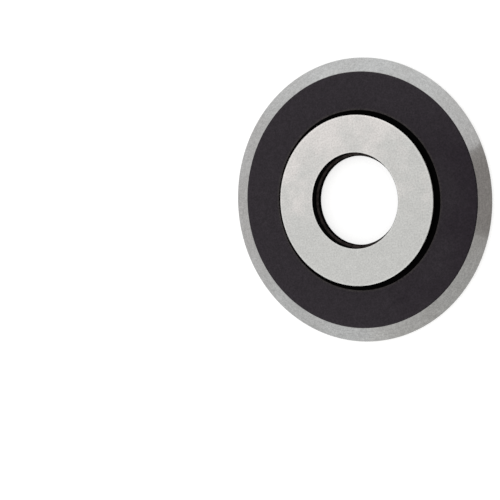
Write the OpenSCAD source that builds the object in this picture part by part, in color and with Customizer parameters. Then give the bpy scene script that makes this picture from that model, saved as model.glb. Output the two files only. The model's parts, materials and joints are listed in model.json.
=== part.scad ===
// Circular slitter knife with a bonded stripper ring and a raised hub ring.
// It lies on its back face: +Z is the bore axis, and the origin is the bore's centre on that face.

/* [Knife disc] */
// Diameter over the cutting edge
knife_d = 255; // [220:1:320]
// Bore that slides on the slitter arbor
bore_d = 80; // [50:0.5:110]
// Thickness of the disc between its flat faces
knife_t = 5; // [3:0.5:10]
// Width of the ground bevel on each face, along the radius
bevel_w = 12; // [6:0.5:20]
// Height of the narrow land left at the cutting edge
edge_land = 0.3; // [0.1:0.05:1]
// Chamfer at each mouth of the bore
bore_chamfer = 0.5; // [0.2:0.1:1]

/* [Hub ring] */
// Outside diameter of the hub ring
hub_d = 153; // [120:1:180]
// Thickness of the hub ring
hub_t = 7.5; // [5:0.5:15]
// Width of the disc's ledge that shows inside the hub ring
ledge_w = 2.75; // [1.5:0.25:8]
// Chamfer on the edges of the hub ring
hub_chamfer = 0.4; // [0.2:0.1:1]
// Depth of the register in the disc that centres the hub ring
register_depth = 0.5; // [0.3:0.1:1.5]
// Radial clearance of the hub ring in its register
register_clearance = 0.05; // [0.02:0.01:0.2]

/* [Stripper ring] */
// Thickness of the rubber ring
ring_t = 1.5; // [1:0.25:5]
// Width of the open groove between the hub ring and the rubber ring
groove_w = 4.25; // [2:0.25:10]
// Flat left on the disc between the rubber ring and the bevel
ring_setback = 0.5; // [0.25:0.25:4]
// Radius of the rubber ring's upper edges
ring_round = 0.5; // [0.2:0.1:0.9]

/* [Hidden] */
$fn = 180;

// Radii of the disc
edge_r = knife_d / 2;
bevel_r = edge_r - bevel_w;
bore_r = bore_d / 2;
register_r = hub_d / 2 + register_clearance;

// Radii of the two rings
hub_r = hub_d / 2;
hub_bore_r = bore_r + ledge_w;
ring_outer_r = bevel_r - ring_setback;
ring_inner_r = hub_r + groove_w;

// Heights above the back face
register_z = knife_t - register_depth;
edge_low_z = (knife_t - edge_land) / 2;
edge_high_z = (knife_t + edge_land) / 2;

// Section of a ring between two radii, with all four corners cut at 45 degrees
module chamfered_section(inner_r, outer_r, height, cut) {
    polygon([
        [inner_r + cut, 0],
        [outer_r - cut, 0],
        [outer_r, cut],
        [outer_r, height - cut],
        [outer_r - cut, height],
        [inner_r + cut, height],
        [inner_r, height - cut],
        [inner_r, cut]
    ]);
}

// Section of a flat ring whose two upper corners are rounded
module rounded_section(inner_r, outer_r, height, round_r) {
    translate([inner_r, 0])
        square([outer_r - inner_r, height - round_r]);
    translate([inner_r + round_r, 0])
        square([outer_r - inner_r - 2 * round_r, height]);
    for (corner_r = [inner_r + round_r, outer_r - round_r])
        translate([corner_r, height - round_r])
            circle(round_r);
}

// Hardened disc, turned and ground in one piece, with its edge at half thickness
module knife_disc() {
    color("silver")
        rotate_extrude()
            polygon([
                [bore_r + bore_chamfer, 0],
                [bevel_r, 0],
                [edge_r, edge_low_z],
                [edge_r, edge_high_z],
                [bevel_r, knife_t],
                [register_r, knife_t],
                [register_r, register_z],
                [bore_r + bore_chamfer, register_z],
                [bore_r, register_z - bore_chamfer],
                [bore_r, bore_chamfer]
            ]);
}

// Rubber ring bonded to the front face of the disc
module stripper_ring() {
    color([0.19, 0.18, 0.19])
        translate([0, 0, knife_t])
            rotate_extrude()
                rounded_section(ring_inner_r, ring_outer_r, ring_t, ring_round);
}

// Ground ring that stands in the register and takes the clamping force
module hub_ring() {
    color("gainsboro")
        translate([0, 0, register_z])
            rotate_extrude()
                chamfered_section(hub_bore_r, hub_r, hub_t, hub_chamfer);
}

knife_disc();
stripper_ring();
hub_ring();
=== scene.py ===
import json
import math

import bmesh
import bpy
from mathutils import Matrix, Vector


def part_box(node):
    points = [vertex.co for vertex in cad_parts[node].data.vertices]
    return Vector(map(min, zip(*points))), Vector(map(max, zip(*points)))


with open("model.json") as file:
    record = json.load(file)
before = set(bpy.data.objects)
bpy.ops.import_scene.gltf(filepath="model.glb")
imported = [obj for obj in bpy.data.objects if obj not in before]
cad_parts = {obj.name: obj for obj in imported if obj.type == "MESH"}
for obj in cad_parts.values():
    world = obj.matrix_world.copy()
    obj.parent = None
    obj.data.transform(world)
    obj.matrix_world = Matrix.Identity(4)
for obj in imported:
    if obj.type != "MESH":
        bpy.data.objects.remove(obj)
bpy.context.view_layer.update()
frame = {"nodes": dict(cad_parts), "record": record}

mm = 0.001
knifeObj = frame["nodes"]["knife_disc"]
ringObj = frame["nodes"]["stripper_ring"]
hubObj = frame["nodes"]["hub_ring"]
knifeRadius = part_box("knife_disc")[1].x
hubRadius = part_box("hub_ring")[1].x
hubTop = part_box("hub_ring")[1].z
mountSizes = {mount["name"]: mount["dims"] for mount in frame["record"]["mounts"]}
arborRadius = mountSizes["arbor_bore"]["r_mm"] * mm
hubBoreRadius = mountSizes["hub_bore"]["r_mm"] * mm
print("frame loaded:", ", ".join(sorted(frame["nodes"])))


# small helpers for node trees

def feed(tree, node, values):
    # another node's output is linked, a plain value is set
    for socket, value in values.items():
        target = node.inputs[socket]
        if isinstance(value, bpy.types.NodeSocket):
            tree.links.new(value, target)
        else:
            target.default_value = value


def addNode(tree, kind, values=None, **settings):
    node = tree.nodes.new(kind)
    for name, value in settings.items():
        setattr(node, name, value)
    feed(tree, node, values or {})
    return node


def calc(tree, operation, a, b):
    return addNode(tree, "ShaderNodeMath", {0: a, 1: b}, operation=operation).outputs[0]


def rampUp(tree, value, low, high):
    # a soft step, 0 at low and 1 at high, which may be the smaller one
    node = addNode(tree, "ShaderNodeMapRange", {"Value": value, "From Min": low, "From Max": high},
                   interpolation_type="SMOOTHSTEP")
    return node.outputs["Result"]


def scaleTo(tree, value, low, high):
    # a value from 0 to 1, stretched from low to high
    node = addNode(tree, "ShaderNodeMapRange", {"Value": value, "To Min": low, "To Max": high})
    return node.outputs["Result"]


def mixValue(tree, factor, a, b):
    return addNode(tree, "ShaderNodeMix", {0: factor, 2: a, 3: b}).outputs[0]


def mixColor(tree, factor, a, b, blend="MIX"):
    # the Mix node keeps sockets of its own for colours: 6 and 7 in, 2 out
    node = addNode(tree, "ShaderNodeMix", {0: factor, 6: a, 7: b}, data_type="RGBA", blend_type=blend)
    return node.outputs[2]


def shade(tree, color, tone):
    # colour times a single value
    grey = addNode(tree, "ShaderNodeCombineColor", {0: tone, 1: tone, 2: tone}).outputs[0]
    return mixColor(tree, 1.0, color, grey, "MULTIPLY")


def shadeBy(tree, color, layers):
    # each pattern shades the colour, from its first tone to its second
    for pattern, tones in layers:
        color = shade(tree, color, scaleTo(tree, pattern, *tones))
    return color


def addNoise(tree, vector, scale, detail, roughness):
    node = addNode(tree, "ShaderNodeTexNoise",
                   {"Vector": vector, "Scale": scale, "Detail": detail, "Roughness": roughness})
    return node.outputs["Fac"]


def addBump(tree, height, strength, distance):
    node = addNode(tree, "ShaderNodeBump", {"Strength": strength, "Distance": distance, "Height": height})
    return node.outputs["Normal"]


def newGroup(name, inputs, outputs):
    # sockets are given by name and kind: Float, Vector or Color
    group = bpy.data.node_groups.new(name, "ShaderNodeTree")
    for side, sockets in (("INPUT", inputs), ("OUTPUT", outputs)):
        for socketName, kind in sockets.items():
            group.interface.new_socket(socketName, in_out=side, socket_type="NodeSocket" + kind)
    source = addNode(group, "NodeGroupInput").outputs
    drain = addNode(group, "NodeGroupOutput")
    return group, source, drain


def useGroup(tree, group, values):
    return addNode(tree, "ShaderNodeGroup", values, node_tree=group).outputs


def clearTree(owner):
    owner.use_nodes = True
    owner.node_tree.nodes.clear()
    return owner.node_tree


def newMaterial(name):
    material = bpy.data.materials.new(name)
    tree = clearTree(material)
    shader = addNode(tree, "ShaderNodeBsdfPrincipled")
    addNode(tree, "ShaderNodeOutputMaterial", {"Surface": shader.outputs["BSDF"]})
    place = addNode(tree, "ShaderNodeTexCoord").outputs["Object"]
    return material, tree, shader, place


def dress(obj, material):
    obj.data.materials.clear()
    obj.data.materials.append(material)


# effects that the materials share

grindLook = {
    # times shorter than a line, times wider, and the detail of the noise
    "layers": {
        "Lines": (1.0, 1.0, 3.0),
        "Streaks": (5.0, 2.6, 2.0),
        "Bands": (0.2, 9.0, 2.0),
    },
    "noiseRoughness": 0.6,
}

cloudLook = {
    "detail": {"Cloud": 4.0, "Mottle": 1.0, "Grain": 2.0},
    "noiseRoughness": 0.55,
}

blackLook = {
    "dark": (0.002, 0.0019, 0.002, 1),
    "light": (0.005, 0.0047, 0.005, 1),
    "roughness": (0.5, 0.68),
    "patchesPerMetre": 260.0,
    "detail": 4.0,
    "noiseRoughness": 0.6,
}


def makeRingPlace():
    # radius, height and a seamless direction round the bore axis
    group, source, drain = newGroup(
        "ringPlace",
        {"Place": "Vector"},
        {"Radius": "Float", "Height": "Float", "Round": "Vector"},
    )
    flat = addNode(group, "ShaderNodeVectorMath", {0: source["Place"], 1: (1, 1, 0)}, operation="MULTIPLY")
    length = addNode(group, "ShaderNodeVectorMath", {0: flat.outputs[0]}, operation="LENGTH")
    turn = addNode(group, "ShaderNodeVectorMath", {0: flat.outputs[0]}, operation="NORMALIZE")
    split = addNode(group, "ShaderNodeSeparateXYZ", {0: source["Place"]})
    feed(group, drain, {
        "Radius": length.outputs["Value"],
        "Height": split.outputs["Z"],
        "Round": turn.outputs[0],
    })
    return group


def makeGrindMarks(look):
    # marks that a grinding wheel leaves round the axis: long along the turn, fine across it
    group, source, drain = newGroup(
        "grindMarks",
        {"Radius": "Float", "Round": "Vector", "Pitch": "Float", "Runs": "Float"},
        {"Lines": "Float", "Streaks": "Float", "Bands": "Float"},
    )
    across = calc(group, "DIVIDE", source["Radius"], source["Pitch"])
    split = addNode(group, "ShaderNodeSeparateXYZ", {0: source["Round"]}).outputs
    for layer, (shorter, wider, detail) in look["layers"].items():
        turns = calc(group, "MULTIPLY", source["Runs"], shorter)
        joined = addNode(group, "ShaderNodeCombineXYZ", {
            "X": calc(group, "MULTIPLY", split["X"], turns),
            "Y": calc(group, "MULTIPLY", split["Y"], turns),
            "Z": calc(group, "DIVIDE", across, wider),
        })
        marks = addNoise(group, joined.outputs[0], 1.0, detail, look["noiseRoughness"])
        feed(group, drain, {layer: marks})
    return group


def makeCloudyGrain(look):
    # clouds, mottle and fine grain, for stains, oil film and the bloom on rubber, with painted light where
    # the clouds gather towards one side
    group, source, drain = newGroup(
        "cloudyGrain",
        {"Place": "Vector", "Cloud Size": "Float", "Mottle Size": "Float", "Grain Size": "Float",
         "Painted Light Side": "Vector"},
        {"Cloud": "Float", "Mottle": "Float", "Grain": "Float"},
    )
    patterns = {}
    for layer, detail in look["detail"].items():
        scale = calc(group, "DIVIDE", 1.0, source[layer + " Size"])
        patterns[layer] = addNoise(group, source["Place"], scale, detail, look["noiseRoughness"])
    # painted light: the clouds thicken towards one side, so that side takes more of the cloud colour, as if
    # lit more
    side = addNode(group, "ShaderNodeVectorMath", {0: source["Place"], 1: source["Painted Light Side"]},
                   operation="DOT_PRODUCT")
    patterns["Cloud"] = calc(group, "ADD", patterns["Cloud"], side.outputs["Value"])
    feed(group, drain, patterns)
    return group


def makeBlackening(look):
    # black oxide: nearly black, a little uneven
    group, source, drain = newGroup(
        "blackening",
        {"Place": "Vector"},
        {"Color": "Color", "Roughness": "Float"},
    )
    patches = addNoise(group, source["Place"], look["patchesPerMetre"], look["detail"],
                       look["noiseRoughness"])
    feed(group, drain, {
        "Color": mixColor(group, patches, look["dark"], look["light"]),
        "Roughness": scaleTo(group, patches, *look["roughness"]),
    })
    return group


ringPlace = makeRingPlace()
grindMarks = makeGrindMarks(grindLook)
cloudyGrain = makeCloudyGrain(cloudLook)
blackening = makeBlackening(blackLook)


def grindOn(tree, ring, look):
    return useGroup(tree, grindMarks, {
        "Radius": ring["Radius"],
        "Round": ring["Round"],
        "Pitch": look["linePitch"],
        "Runs": look["lineRuns"],
    })


def cloudOn(tree, place, look):
    return useGroup(tree, cloudyGrain, {
        "Place": place,
        "Cloud Size": look["cloudSize"],
        "Mottle Size": look["mottleSize"],
        "Grain Size": look["grainSize"],
        "Painted Light Side": look["paintedLightSide"],
    })


def cloudedColor(tree, cloud, look):
    clouds = rampUp(tree, cloud["Cloud"], *look["cloudRange"])
    return mixColor(tree, clouds, look["color"], look["cloudColor"])


def groundSteel(tree, marks, cloud, look):
    return shadeBy(tree, cloudedColor(tree, cloud, look), (
        (marks["Streaks"], look["streakTones"]),
        (marks["Lines"], look["lineTones"]),
        (cloud["Mottle"], look["mottleTones"]),
        (cloud["Grain"], look["grainTones"]),
    ))


print("shared effects ready")


# knife disc: ground bevels and back, blackened front face and bore

knifeLook = {
    "bevelWidth": 12 * mm,
    "margin": 0.45 * mm,  # bright flat between the bevel and the rubber
    "backSkin": 0.02 * mm,  # only the back face lies lower than this
    "color": (0.465, 0.465, 0.46, 1),
    "cloudColor": (0.425, 0.42, 0.412, 1),  # stains
    "cloudRange": (0.35, 0.7),
    "paintedLightSide": (0, 0, 0),
    "cloudSize": 50 * mm,
    "mottleSize": 4 * mm,
    "grainSize": 1.4 * mm,
    "streakTones": (0.80, 1.20),
    "lineTones": (0.90, 1.10),
    "mottleTones": (0.88, 1.12),
    "grainTones": (0.68, 1.32),
    "bevelRoughness": (0.05, 0.09),
    "backRoughness": (0.24, 0.34),
    "backTone": 1.12,
    "specular": 0.0,
    "linePitch": 0.35 * mm,
    "lineRuns": 5.0,
    "lineDepth": 0.03,
    "bumpHeight": 0.02 * mm,
    "ledgeRadius": (arborRadius + 0.55 * mm, hubBoreRadius + 0.25 * mm),  # from the chamfer to under the hub
    "ledgeHeight": 4.4 * mm,
    "ledgeColor": (0.072, 0.059, 0.057, 1),
    "ledgeStain": (0.038, 0.031, 0.030, 1),
    "ledgeRange": (0.35, 0.65),
}


def makeKnifeSteel(look):
    material, tree, shader, place = newMaterial("knifeSteel")
    ring = useGroup(tree, ringPlace, {"Place": place})
    marks = grindOn(tree, ring, look)
    cloud = cloudOn(tree, place, look)
    black = useGroup(tree, blackening, {"Place": place})
    # bright where ground: the bevels with the margin beside the rubber, and the back face
    brightFrom = knifeRadius - look["bevelWidth"] - look["margin"]
    onBevel = calc(tree, "GREATER_THAN", ring["Radius"], brightFrom)
    onBack = calc(tree, "LESS_THAN", ring["Height"], look["backSkin"])
    bright = calc(tree, "MAXIMUM", onBevel, onBack)
    steel = groundSteel(tree, marks, cloud, look)
    steel = shade(tree, steel, mixValue(tree, onBack, 1.0, look["backTone"]))
    # the ledge inside the hub ring has a worn, brownish black
    inner, outer = look["ledgeRadius"]
    onLedge = calc(tree, "GREATER_THAN", ring["Height"], look["ledgeHeight"])
    onLedge = calc(tree, "MULTIPLY", onLedge, calc(tree, "GREATER_THAN", ring["Radius"], inner))
    onLedge = calc(tree, "MULTIPLY", onLedge, calc(tree, "LESS_THAN", ring["Radius"], outer))
    stains = rampUp(tree, cloud["Mottle"], *look["ledgeRange"])
    worn = mixColor(tree, stains, look["ledgeColor"], look["ledgeStain"])
    dark = mixColor(tree, onLedge, black["Color"], worn)
    keen = scaleTo(tree, marks["Bands"], *look["bevelRoughness"])
    satin = scaleTo(tree, marks["Bands"], *look["backRoughness"])
    feed(tree, shader, {
        "Base Color": mixColor(tree, bright, dark, steel),
        "Roughness": mixValue(tree, bright, black["Roughness"], mixValue(tree, onBack, keen, satin)),
        "Metallic": bright,
        "Normal": addBump(tree, marks["Lines"], look["lineDepth"], look["bumpHeight"]),
        "Specular IOR Level": look["specular"],
    })
    return material


dress(knifeObj, makeKnifeSteel(knifeLook))
print("knife disc dressed")


# stripper ring: matte black moulded rubber, paler along the groove, partly rubbed and partly painted light
# against the hub's shade

rubberLook = {
    "color": (0.0270, 0.0208, 0.0280, 1),
    "cloudColor": (0.0370, 0.0308, 0.0378, 1),  # bloom, with painted light where it gathers towards one side
    "cloudRange": (0.0, 0.3),
    # painted light: the rubber is painted paler towards this side
    "paintedLightSide": (-3.9, 1.04, 0),
    "cloudSize": 50 * mm,
    "mottleSize": 4 * mm,
    "grainSize": 1.4 * mm,
    "mottleTones": (0.8, 1.2),
    "grainTones": (0.3, 1.7),
    "rubbedAndLit": (0.072, 0.064, 0.061, 1),
    "rubAndLightTones": (0.0, 1.2),
    "innerRadius": 80.75 * mm,
    "edgeReach": 2.8 * mm,
    "roughness": (0.66, 0.84),
    "specular": 0.15,
    "grainDepth": 0.3,
    "bumpHeight": 0.05 * mm,
}


def makeStripperRubber(look):
    material, tree, shader, place = newMaterial("stripperRubber")
    ring = useGroup(tree, ringPlace, {"Place": place})
    cloud = cloudOn(tree, place, look)
    # paler along the groove: rubbing, and painted light that offsets the shade of the hub wall
    rubAndLight = rampUp(tree, ring["Radius"], look["innerRadius"] + look["edgeReach"], look["innerRadius"])
    rubAndLight = calc(tree, "MULTIPLY", rubAndLight, scaleTo(tree, cloud["Grain"], *look["rubAndLightTones"]))
    color = mixColor(tree, rubAndLight, cloudedColor(tree, cloud, look), look["rubbedAndLit"])
    color = shadeBy(tree, color, (
        (cloud["Mottle"], look["mottleTones"]),
        (cloud["Grain"], look["grainTones"]),
    ))
    feed(tree, shader, {
        "Base Color": color,
        "Roughness": scaleTo(tree, cloud["Grain"], *look["roughness"]),
        "Normal": addBump(tree, cloud["Grain"], look["grainDepth"], look["bumpHeight"]),
        "Specular IOR Level": look["specular"],
    })
    return material


dress(ringObj, makeStripperRubber(rubberLook))
print("stripper ring dressed")


# hub ring: surface-ground face and outer edge, blackened walls

hubLook = {
    "edgeBreak": 0.45 * mm,
    "boreEdge": hubBoreRadius + 0.38 * mm,  # the face ends here, at the bore's edge break
    "color": (0.668, 0.673, 0.654, 1),  # cool grey
    "cloudColor": (0.812, 0.785, 0.763, 1),  # warmer and paler: stains, and painted light towards one side
    "cloudRange": (0.42, 0.9),
    # painted light: the face is painted warmer and paler towards this side
    "paintedLightSide": (-1.3, 3.9, 0),
    "cloudSize": 22 * mm,
    "mottleSize": 7 * mm,
    "grainSize": 1.5 * mm,
    "streakTones": (0.92, 1.08),
    "lineTones": (0.95, 1.05),
    "mottleTones": (0.94, 1.06),
    "grainTones": (0.70, 1.30),
    "faceRoughness": (0.3, 0.4),
    "specular": 0.0,
    # painted highlight along both rims of the face
    "rimReach": 1.8 * mm,
    "rimPaintedHighlight": 1.13,
    "linePitch": 0.4 * mm,
    "lineRuns": 7.0,
    "lineDepth": 0.05,
    "bumpHeight": 0.02 * mm,
    "wallColor": (0.016, 0.0155, 0.016, 1),
    "wallRoughness": 0.45,
}


def makeHubSteel(look):
    material, tree, shader, place = newMaterial("hubSteel")
    ring = useGroup(tree, ringPlace, {"Place": place})
    marks = grindOn(tree, ring, look)
    cloud = cloudOn(tree, place, look)
    black = useGroup(tree, blackening, {"Place": place})
    # bright on the face and its outer edge break, black from the bore's edge break down
    outsideBore = calc(tree, "GREATER_THAN", ring["Radius"], look["boreEdge"])
    onTop = calc(tree, "GREATER_THAN", ring["Height"], hubTop - look["edgeBreak"])
    bright = calc(tree, "MULTIPLY", onTop, outsideBore)
    # painted highlight: both rims of the face are painted paler
    outerEdge = hubRadius - look["edgeBreak"]
    outerRim = rampUp(tree, ring["Radius"], outerEdge - look["rimReach"], outerEdge)
    innerRim = rampUp(tree, ring["Radius"], look["boreEdge"] + look["rimReach"], look["boreEdge"])
    rim = calc(tree, "MAXIMUM", outerRim, innerRim)
    steel = groundSteel(tree, marks, cloud, look)
    steel = shade(tree, steel, mixValue(tree, rim, 1.0, look["rimPaintedHighlight"]))
    # the outer wall keeps some sheen, the bore's wall is dull
    dark = mixColor(tree, outsideBore, black["Color"], look["wallColor"])
    darkRough = mixValue(tree, outsideBore, black["Roughness"], look["wallRoughness"])
    faceRough = scaleTo(tree, marks["Bands"], *look["faceRoughness"])
    feed(tree, shader, {
        "Base Color": mixColor(tree, bright, dark, steel),
        "Roughness": mixValue(tree, bright, darkRough, faceRough),
        "Metallic": outsideBore,
        "Normal": addBump(tree, marks["Lines"], look["lineDepth"], look["bumpHeight"]),
        "Specular IOR Level": look["specular"],
    })
    return material


dress(hubObj, makeHubSteel(hubLook))
print("hub ring dressed")


# studio: a white floor, soft boxes overhead and a pale room with a darker ceiling

studio = {
    "floorRadius": 6.0,
    "floorSegments": 96,
    "floorDrop": 0.2 * mm,
    "floorColor": (0.75, 0.75, 0.75, 1),
    "glowColor": (1, 1, 1, 1),
    "glow": (0.6, 1.0),  # near the knife, where the floor keeps its shadow, and far away
    "glowReach": (0.5, 1.5),
    "ceilingGrey": (0.42, 0.395, 0.38, 1),  # straight above, seen in the right side of the bevel
    "ceilingUp": (0.67, 0.67, 0.665, 1),  # paler towards +Y
    "ceilingDown": (0.50, 0.495, 0.485, 1),  # and a little paler towards -Y
    "palerUp": (0.06, 0.42),
    "palerDown": (-0.06, -0.30),
    "wallWhite": (1, 1, 1, 1),  # low down, where a level camera looks
    "wallPale": (0.9, 0.9, 0.9, 1),
    "wallGrey": (0.30, 0.29, 0.28, 1),  # the side that the camera stands on
    "greySide": (0.45, 0.75),
    "whiteTop": (0.17, 0.26),  # heights of a direction at which the white, then the pale part ends
    "wallTop": (0.42, 0.66),
}

keyLight = {"radiance": 0.43, "color": (0.97, 1.0, 1.03)}
dimLight = {"radiance": 0.16, "color": (1.0, 1.0, 0.98)}

# soft boxes on one level sheet, turned about Z, each given by its edges on that sheet
lampSheet = {
    "height": 2.0,
    "turnDeg": -31.1,
    "boxes": {
        "keyFar": {"across": (-2.75, -0.118), "along": (-0.25, 0.85), **keyLight},
        "keyNear": {"across": (-2.75, -0.36), "along": (-2.15, -0.25), **keyLight},
        "dimBox": {"across": (-0.36, 1.2), "along": (-2.15, -0.25), **dimLight},
    },
}

# strips that feather the near key box into the dim one
feather = {
    "across": (-0.36, 0.20),
    "along": (-2.15, -0.80),
    "strips": 6,
    "radiance": 0.27,
    "color": (1.0, 1.0, 1.0),
    "drop": 5 * mm,  # each strip hangs this much lower than the one before
}


def makeFloor(look):
    bm = bmesh.new()
    bmesh.ops.create_circle(bm, cap_ends=True, cap_tris=True, segments=look["floorSegments"],
                            radius=look["floorRadius"])
    bmesh.ops.translate(bm, verts=bm.verts[:], vec=(0, 0, -look["floorDrop"]))
    bmesh.ops.recalc_face_normals(bm, faces=bm.faces[:])
    mesh = bpy.data.meshes.new("studioFloor")
    bm.to_mesh(mesh)
    bm.free()
    floor = bpy.data.objects.new("studioFloor", mesh)
    bpy.context.scene.collection.objects.link(floor)
    return floor


def makeFloorWhite(look):
    material = bpy.data.materials.new("floorWhite")
    tree = clearTree(material)
    place = addNode(tree, "ShaderNodeTexCoord").outputs["Object"]
    away = addNode(tree, "ShaderNodeVectorMath", {0: place}, operation="LENGTH").outputs["Value"]
    far = rampUp(tree, away, *look["glowReach"])
    # the glow is seen directly, in metal and through glass, but lights nothing
    path = addNode(tree, "ShaderNodeLightPath").outputs
    seen = calc(tree, "MAXIMUM", path["Is Camera Ray"], path["Is Glossy Ray"])
    seen = calc(tree, "MAXIMUM", seen, path["Is Transmission Ray"])
    strength = calc(tree, "MULTIPLY", mixValue(tree, far, *look["glow"]), seen)
    glow = addNode(tree, "ShaderNodeEmission", {"Color": look["glowColor"], "Strength": strength})
    matte = addNode(tree, "ShaderNodeBsdfDiffuse", {"Color": look["floorColor"]})
    both = addNode(tree, "ShaderNodeAddShader", {0: glow.outputs[0], 1: matte.outputs[0]})
    addNode(tree, "ShaderNodeOutputMaterial", {"Surface": both.outputs[0]})
    return material


def makeSoftBox(name, sheet, look, drop=0.0):
    left, right = look["across"]
    near, far = look["along"]
    lamp = bpy.data.lights.new(name, "AREA")
    lamp.shape = "RECTANGLE"
    lamp.size = right - left
    lamp.size_y = far - near
    lamp.energy = look["radiance"] * math.pi * lamp.size * lamp.size_y
    lamp.color = look["color"]
    box = bpy.data.objects.new(name, lamp)
    # an area lamp shines along its own -Z, so a turn about Z leaves it facing down
    turn = Matrix.Rotation(math.radians(sheet["turnDeg"]), 4, "Z")
    middle = Vector(((left + right) / 2, (near + far) / 2, sheet["height"] - drop))
    box.matrix_world = turn @ Matrix.Translation(middle)
    box.visible_camera = False
    bpy.context.scene.collection.objects.link(box)


def makeFeather(sheet, look):
    left, right = look["across"]
    for step in range(look["strips"]):
        edge = left + (right - left) * (step + 0.5) / look["strips"]
        strip = {"across": (left, edge), "along": look["along"], "color": look["color"],
                 "radiance": look["radiance"] / look["strips"]}
        makeSoftBox(f"featherStrip{step}", sheet, strip, drop=(step + 1) * look["drop"])


def makeRoom(look):
    world = bpy.data.worlds.new("studioRoom")
    bpy.context.scene.world = world
    tree = clearTree(world)
    direction = addNode(tree, "ShaderNodeTexCoord").outputs["Generated"]
    split = addNode(tree, "ShaderNodeSeparateXYZ", {0: direction}).outputs
    # from the first value of each range to the second, one colour goes over into the next
    toUp = rampUp(tree, split["Y"], *look["palerUp"])
    toDown = rampUp(tree, split["Y"], *look["palerDown"])
    toGrey = rampUp(tree, split["X"], *look["greySide"])
    toCeiling = rampUp(tree, split["Z"], *look["wallTop"])
    aboveWhite = rampUp(tree, split["Z"], *look["whiteTop"])
    ceiling = mixColor(tree, toUp, look["ceilingGrey"], look["ceilingUp"])
    ceiling = mixColor(tree, toDown, ceiling, look["ceilingDown"])
    wall = mixColor(tree, toGrey, look["wallPale"], look["wallGrey"])
    room = mixColor(tree, toCeiling, wall, ceiling)
    room = mixColor(tree, aboveWhite, look["wallWhite"], room)
    shine = addNode(tree, "ShaderNodeBackground", {"Color": room})
    addNode(tree, "ShaderNodeOutputWorld", {"Surface": shine.outputs[0]})


floorObj = makeFloor(studio)
dress(floorObj, makeFloorWhite(studio))
for boxName, boxLook in lampSheet["boxes"].items():
    makeSoftBox(boxName, lampSheet, boxLook)
makeFeather(lampSheet, feather)
makeRoom(studio)
print("studio ready")


# camera at the photograph's angle, off to the side of the bore axis

shot = {
    "eye": Vector((640.3, 0, 1262.2)) * mm,
    "aim": Vector((-112.61, -38.2, 12.0)) * mm,
    "rollDeg": 4.455,
    "lens": 112.9,
    "sensor": 36.0,
    "clip": (0.01, 50.0),
}


def makeCamera(look):
    lens = bpy.data.cameras.new("shotCamera")
    lens.lens = look["lens"]
    lens.sensor_width = look["sensor"]
    lens.clip_start, lens.clip_end = look["clip"]
    camera = bpy.data.objects.new("shotCamera", lens)
    # +Y is up in the picture, but for the roll
    away = (look["eye"] - look["aim"]).normalized()
    right = Vector((0, 1, 0)).cross(away).normalized()
    axes = Matrix((right, away.cross(right), away)).transposed().to_4x4()
    roll = Matrix.Rotation(-math.radians(look["rollDeg"]), 4, "Z")
    camera.matrix_world = Matrix.Translation(look["eye"]) @ axes @ roll
    bpy.context.scene.collection.objects.link(camera)
    bpy.context.scene.camera = camera


makeCamera(shot)
bpy.context.scene.view_settings.view_transform = "Standard"
print("camera ready")
